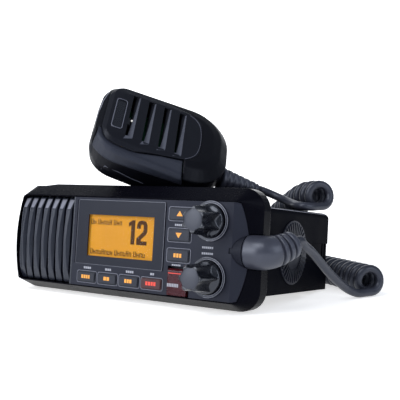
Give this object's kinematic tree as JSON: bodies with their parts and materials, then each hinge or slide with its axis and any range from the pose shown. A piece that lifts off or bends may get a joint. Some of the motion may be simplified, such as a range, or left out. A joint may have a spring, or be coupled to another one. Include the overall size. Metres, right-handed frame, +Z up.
{
  "type": "fixed-mount marine radio with fist microphone",
  "caption": "Box-shaped marine VHF radio with a slatted speaker, lit display, keys and fluted knobs, and a fist microphone leaning on it on a curly cord.",
  "frame": {"origin": "on the surface that the radio stands on, under the middle of the box of the radio and microphone without the cord", "axes": "+X to the right of the radio as its user sees it, +Y away from the user, +Z up"},
  "size_m": [0.2114, 0.1973, 0.129],
  "materials": {
    "gloss_black": "smooth glossy black moulding",
    "panel_satin": "satin grey-blue moulding",
    "grille_satin": "satin dark grey moulding",
    "speaker_cloth": "fine black cloth",
    "foam_rubber": "soft black rubber",
    "plated_steel": "plain plated steel",
    "cone_paper": "dull dark cone",
    "magnet_ferrite": "dull grey",
    "window_gloss": "glossy grey window plate",
    "clear_lens": "clear",
    "amber_display": "evenly lit amber",
    "light_guide": "milky white",
    "circuit_board": "green board",
    "key_satin": "satin dark grey",
    "key_red": "satin red",
    "cover_red": "clear red, glossy",
    "knob_satin": "satin dark grey",
    "ring_satin": "satin mid grey",
    "cast_black": "cast aluminium, painted satin black",
    "boss_satin": "satin black",
    "package_black": "dull black",
    "tin_plate": "bright thin sheet",
    "socket_nickel": "bright nickel plate",
    "insulator_white": "milky white",
    "contact_brass": "polished brass",
    "gland_black": "dull black",
    "boot_rubber": "dull dark grey",
    "cord_jacket": "satin black jacket",
    "mic_black": "fine-textured black",
    "mic_grey": "satin dark grey",
    "lever_grey": "satin mid grey",
    "plate_dark": "smooth dark plate"
  },
  "bodies": {
    "radio": {"front_housing": "gloss_black", "front_panel": "panel_satin", "speaker_grille": "grille_satin", "speaker_cloth": "speaker_cloth", "speaker_gasket": "foam_rubber", "speaker_basket": "plated_steel", "speaker_cone": "cone_paper", "speaker_magnet": "magnet_ferrite", "display_window": "window_gloss", "display_lens": "clear_lens", "display_glass": "amber_display", "backlight": "light_guide", "key_mat": "foam_rubber", "front_board": "circuit_board", "distress_pin": "plated_steel", "knob_rings": "ring_satin", "volume_control": "tin_plate", "squelch_control": "tin_plate", "housing_gasket": "foam_rubber", "chassis": "cast_black", "bottom_cover": "cast_black", "bracket_bosses": "boss_satin", "main_board": "circuit_board", "shield_can": "tin_plate", "power_amplifier": "package_black", "aerial_socket": "socket_nickel", "aerial_insulator": "insulator_white", "aerial_contact": "contact_brass", "power_gland": "gland_black", "data_gland": "gland_black", "board_screws": "plated_steel", "front_screws": "plated_steel", "cover_screws": "plated_steel", "cord_collar": "ring_satin", "cord_boot": "boot_rubber", "cord_lead": "cord_jacket", "curly_cord": "cord_jacket", "mic_lead": "cord_jacket"},
    "row_key_1_body": {"row_key_1": "key_satin"},
    "row_key_2_body": {"row_key_2": "key_satin"},
    "row_key_3_body": {"row_key_3": "key_satin"},
    "row_key_4_body": {"row_key_4": "key_red"},
    "up_key_body": {"up_key": "key_satin"},
    "down_key_body": {"down_key": "key_satin"},
    "enter_key_body": {"enter_key": "key_satin"},
    "distress_cover_body": {"distress_cover": "cover_red"},
    "distress_key_body": {"distress_key": "key_red"},
    "volume_turn": {"volume_knob": "knob_satin", "volume_shaft": "plated_steel"},
    "squelch_turn": {"squelch_knob": "knob_satin", "squelch_shaft": "plated_steel"},
    "microphone": {"mic_rear_shell": "mic_black", "mic_front_cover": "mic_grey", "mic_nameplate": "plate_dark", "talk_pin": "plated_steel", "talk_switch": "package_black", "mic_board": "circuit_board", "mic_capsule": "tin_plate", "mic_strain_relief": "boot_rubber"},
    "talk_lever_body": {"talk_lever": "lever_grey"}
  },
  "joints": [
    {"name": "row_key_1_press", "type": "slide", "parent": "radio", "child": "row_key_1_body", "axis": [0, 0.9953, -0.0973], "range_m": [0, 0.001], "stiffness_N_per_m": 600, "springref_m": -0.0008},
    {"name": "row_key_2_press", "type": "slide", "parent": "radio", "child": "row_key_2_body", "axis": [0, 0.9953, -0.0973], "range_m": [0, 0.001], "stiffness_N_per_m": 600, "springref_m": -0.0008},
    {"name": "row_key_3_press", "type": "slide", "parent": "radio", "child": "row_key_3_body", "axis": [0, 0.9953, -0.0973], "range_m": [0, 0.001], "stiffness_N_per_m": 600, "springref_m": -0.0008},
    {"name": "row_key_4_press", "type": "slide", "parent": "radio", "child": "row_key_4_body", "axis": [0, 0.9953, -0.0973], "range_m": [0, 0.001], "stiffness_N_per_m": 600, "springref_m": -0.0008},
    {"name": "up_key_press", "type": "slide", "parent": "radio", "child": "up_key_body", "axis": [0, 0.9953, -0.0973], "range_m": [0, 0.001], "stiffness_N_per_m": 600, "springref_m": -0.0008},
    {"name": "down_key_press", "type": "slide", "parent": "radio", "child": "down_key_body", "axis": [0, 0.9953, -0.0973], "range_m": [0, 0.001], "stiffness_N_per_m": 600, "springref_m": -0.0008},
    {"name": "enter_key_press", "type": "slide", "parent": "radio", "child": "enter_key_body", "axis": [0, 0.9953, -0.0973], "range_m": [0, 0.001], "stiffness_N_per_m": 600, "springref_m": -0.0008},
    {"name": "distress_key_press", "type": "slide", "parent": "radio", "child": "distress_key_body", "axis": [0, 0.9953, -0.0973], "range_m": [0, 0.0008], "stiffness_N_per_m": 700, "springref_m": -0.0008},
    {"name": "distress_cover_hinge", "type": "hinge", "parent": "radio", "child": "distress_cover_body", "pos_m": [0.0424, -0.05143, 0.02096], "axis": [-1, 0, 0], "range_deg": [0, 100], "stiffness_Nm_per_rad": 0.004, "springref_deg": -11.46},
    {"name": "volume_turn", "type": "hinge", "parent": "radio", "child": "volume_turn", "pos_m": [0.0615, -0.04962, 0.04972], "axis": [0, 0.9953, -0.0973], "range_deg": [-150, 150]},
    {"name": "squelch_turn", "type": "hinge", "parent": "radio", "child": "squelch_turn", "pos_m": [0.0615, -0.05257, 0.01956], "axis": [0, 0.9953, -0.0973], "range_deg": [-150, 150]},
    {"name": "mic_lift", "type": "slide", "parent": "radio", "child": "microphone", "axis": [0, 0, 1], "range_m": [0, 0.03], "deforming": ["mic_lead"]},
    {"name": "talk_lever_hinge", "type": "hinge", "parent": "microphone", "child": "talk_lever_body", "pos_m": [-0.0145, -0.04322, 0.09498], "axis": [0.6667, -0.3522, 0.6568], "range_deg": [0, 1.2], "stiffness_Nm_per_rad": 1, "springref_deg": -2.86}
  ]
}
